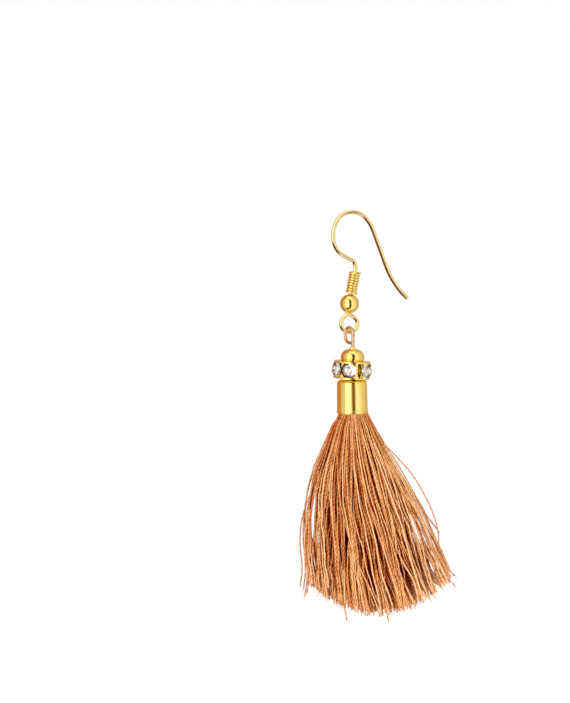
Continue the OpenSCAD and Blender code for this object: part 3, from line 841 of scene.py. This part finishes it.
def tassel(material):
    """The skirt's threads in a few pieces, the stray threads, and the frayed ends of them all."""
    rng = np.random.default_rng(THREAD_SEED)
    path, tone, section = thread_paths(rng)
    place = foot_of_cap()
    share = np.linspace(0, 1, THREAD_RINGS)[None]
    radius = THREAD_R_CAP + (THREAD_R - THREAD_R_CAP) * rise(share, 0, THREAD_FULL)
    radius = radius * rng.uniform(*THREAD_UNEVEN, (THREADS, 1))
    skin, along = twisted_tubes(path, rng.uniform(0, TURN, THREADS), radius)
    tones = shaded(skin, path, tone, section)
    for part in range(THREAD_PIECES):
        pick = np.arange(part, THREADS, THREAD_PIECES)
        thread_piece(f"threads_{part + 1}", skin[pick], along[pick], tones[pick], place, material)

    stray = np.array([smooth_curve(points, STRAY_RINGS) for points in STRAYS])
    spin = rng.uniform(0, TURN, len(STRAYS))
    skin, along = twisted_tubes(stray, spin, np.full((len(STRAYS), STRAY_RINGS), STRAY_R))
    thread_piece("stray_threads", skin, along, STRAY_TONE, place, material)

    before = np.concatenate([path[:, -6], stray[:, -3]])
    tip = np.concatenate([path[:, -2], stray[:, -1]])
    fray = fray_paths(rng, before, tip)
    radius = np.linspace(*FRAY_R, FRAY_RINGS)[None] * rng.uniform(*FRAY_UNEVEN, (len(fray), 1))
    skin, along = twisted_tubes(fray, np.zeros(len(fray)), radius, FRAY_SIDES, 0.0)
    tones = rng.uniform(*FRAY_TONES, (len(fray), 1, 1))
    thread_piece("frayed_ends", skin, along, tones, place, material)


# ---- Camera, light and floor ----

# The photograph's frame: its size, the size of a pixel and the pixel where the origin lies.
PHOTO_W, PHOTO_H = 570, 703
PIXEL = 0.152 * MM
ORIGIN_PX = (352.1, 214.0)
LENS, SENSOR, CLIP = 200.0, 36.0, (0.01, 10.0)
# The camera looks down by this much, in degrees.
CAMERA_DOWN = 2.0

# Panels of the studio that the metal and stones mirror: azimuth from the viewer towards +X and half
# width, elevation and half height, and the soft edge, in degrees, then the brightness and the colour.
PANELS = [
    (-140, 40, 0, 90, 12, 0.58, (1.0, 0.46, 0.16)),
    (158, 30, 0, 90, 20, 0.64, (1.0, 0.76, 0.50)),
    (-34, 18, 8, 52, 7, 1.75, (1.0, 1.0, 0.97)),
    (32, 8, 8, 60, 60, 1.12, (1.0, 0.97, 0.92)),
    (0, 180, -84, 6, 14, 0.45, (1.0, 0.65, 0.30)),
    (-30, 34, -54, 6, 5, 0.03, (1.0, 0.50, 0.20)),
    (-18, 20, 52, 3, 5, 0.25, (1.0, 0.60, 0.25)),
    (11, 9, -3, 50, 6, 0.03, (1.0, 0.45, 0.06)),
    (11, 8, -1, 6, 6, 0.25, (1.0, 0.56, 0.08)),
    (0, 180, 84, 8, 12, 1.2, (1.0, 1.0, 1.0))]
# The rest of the studio, the soft light from all round with its brightness, and the white ground.
STUDIO = (0.80, 0.67, 0.51, 1)
SOFT, SOFT_BRIGHT = (1.0, 0.98, 0.96, 1), 0.60
WHITE = (1, 1, 1, 1)

# Lights: name, place and size in metres, and power in watts. Each looks at the middle of the part.
LIGHTS = [
    ("key", (-0.22, -0.48, -0.06), 0.16, 2.95),
    ("fill", (0.45, -0.30, -0.04), 0.30, 2.2),
    ("back", (0.10, 0.45, 0.10), 0.30, 2.2)]

FLOOR_R, FLOOR_BELOW, FLOOR_CORNERS = 0.30, 60 * MM, 96


def camera():
    data = bpy.data.cameras.new("camera")
    data.lens = LENS
    data.sensor_width = SENSOR
    data.clip_start, data.clip_end = CLIP
    eye = add_object("camera", data)
    middle_x = (PHOTO_W / 2 - ORIGIN_PX[0]) * PIXEL
    middle_z = (ORIGIN_PX[1] - PHOTO_H / 2) * PIXEL
    away = PHOTO_H * PIXEL * LENS / SENSOR
    down = math.radians(CAMERA_DOWN)
    eye.location = (middle_x, -away * math.cos(down), middle_z + away * math.sin(down))
    eye.rotation_euler = (math.radians(90) - down, 0, 0)
    bpy.context.scene.camera = eye


def world():
    """The studio for what mirrors it, a soft light for what doesn't, and white for the camera."""
    made = bpy.data.worlds.new("studio")
    bpy.context.scene.world = made
    made.use_nodes = True
    tree = made.node_tree
    tree.nodes.clear()
    way = add(tree, "ShaderNodeTexCoord").outputs["Generated"]
    way = add(tree, "ShaderNodeSeparateXYZ", {"Vector": way}).outputs
    towards = calc(tree, "MULTIPLY", way["Y"], -1.0)
    azimuth = calc(tree, "DEGREES", calc(tree, "ARCTAN2", way["X"], towards))
    height = calc(tree, "DEGREES", calc(tree, "ARCSINE", way["Z"]))
    colour = STUDIO
    for az, half_w, up, half_h, edge, bright, tint in PANELS:
        aside = calc(tree, "WRAP", calc(tree, "SUBTRACT", azimuth, az), 180.0, -180.0)
        above = calc(tree, "SUBTRACT", height, up)
        inside = calc(tree, "MULTIPLY",
                      step_between(tree, calc(tree, "ABSOLUTE", aside), half_w + edge, half_w),
                      step_between(tree, calc(tree, "ABSOLUTE", above), half_h + edge, half_h))
        colour = mixed(tree, inside, colour, (*(bright * c for c in tint), 1))
    rays = add(tree, "ShaderNodeLightPath").outputs
    studio = add(tree, "ShaderNodeBackground", {"Color": colour, "Strength": 1.0})
    soft = add(tree, "ShaderNodeBackground", {"Color": SOFT, "Strength": SOFT_BRIGHT})
    white = add(tree, "ShaderNodeBackground", {"Color": WHITE, "Strength": 1.0})
    lit = add(tree, "ShaderNodeMixShader", {0: rays["Is Diffuse Ray"], 1: studio.outputs[0],
                                            2: soft.outputs[0]})
    seen = add(tree, "ShaderNodeMixShader", {0: rays["Is Camera Ray"], 1: lit.outputs[0],
                                             2: white.outputs[0]})
    add(tree, "ShaderNodeOutputWorld", {"Surface": seen.outputs[0]})


def lights():
    low, high = CAD_BOX
    middle = (low + high) / 2
    for name, place, size, power in LIGHTS:
        data = bpy.data.lights.new(name, "AREA")
        data.size = size
        data.energy = power
        lamp = add_object(name, data)
        lamp.location = place
        lamp.rotation_euler = (middle - lamp.location).to_track_quat("-Z", "Y").to_euler()
        lamp.visible_glossy = False


def floor():
    """A round white ground below the part."""
    material, tree, shader = new_material("floor")
    put(tree, shader, {"Base Color": (0.95, 0.95, 0.95, 1), "Roughness": 0.9})
    low = CAD_BOX[0].z - FLOOR_BELOW
    angles = [TURN * i / FLOOR_CORNERS for i in range(FLOOR_CORNERS)]
    points = [(FLOOR_R * math.cos(a), FLOOR_R * math.sin(a), low) for a in angles]
    mesh = bpy.data.meshes.new("floor")
    mesh.from_pydata(points, [], [tuple(range(FLOOR_CORNERS))])
    mesh.materials.append(material)
    ground = add_object("floor", mesh)
    ground.visible_glossy = False


# ---- The scene ----

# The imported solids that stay, and the finish of each.
FINISHES = {"hook_bead": "bead_gold", "top_bead": "bead_gold", "cap": "cap_gold",
            "rondelle": "cap_gold", "eye_pin": "pin_metal"}
SOFT_EDGE, SOFT_EDGE_STEPS = 0.05 * MM, 3


def soften(piece):
    """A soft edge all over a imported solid."""
    edge = piece.modifiers.new("soft_edge", "BEVEL")
    edge.width = SOFT_EDGE
    edge.segments = SOFT_EDGE_STEPS
    edge.harden_normals = True


camera()
bpy.context.scene.view_settings.view_transform = "Standard"
world()
lights()
floor()

metals = {name: metal_material(name, *looks) for name, looks in METALS.items()}
hook_wire(metals["wire_gold"])
for solid, finish in FINISHES.items():
    NODES[solid].material_slots[0].material = metals[finish]
soften(NODES["rondelle"])
coil(metals["bead_gold"])
crystal, foil = crystal_material(), foil_material()
for stone_name in STONES:
    stone(stone_name, crystal, foil)
tassel(thread_material())
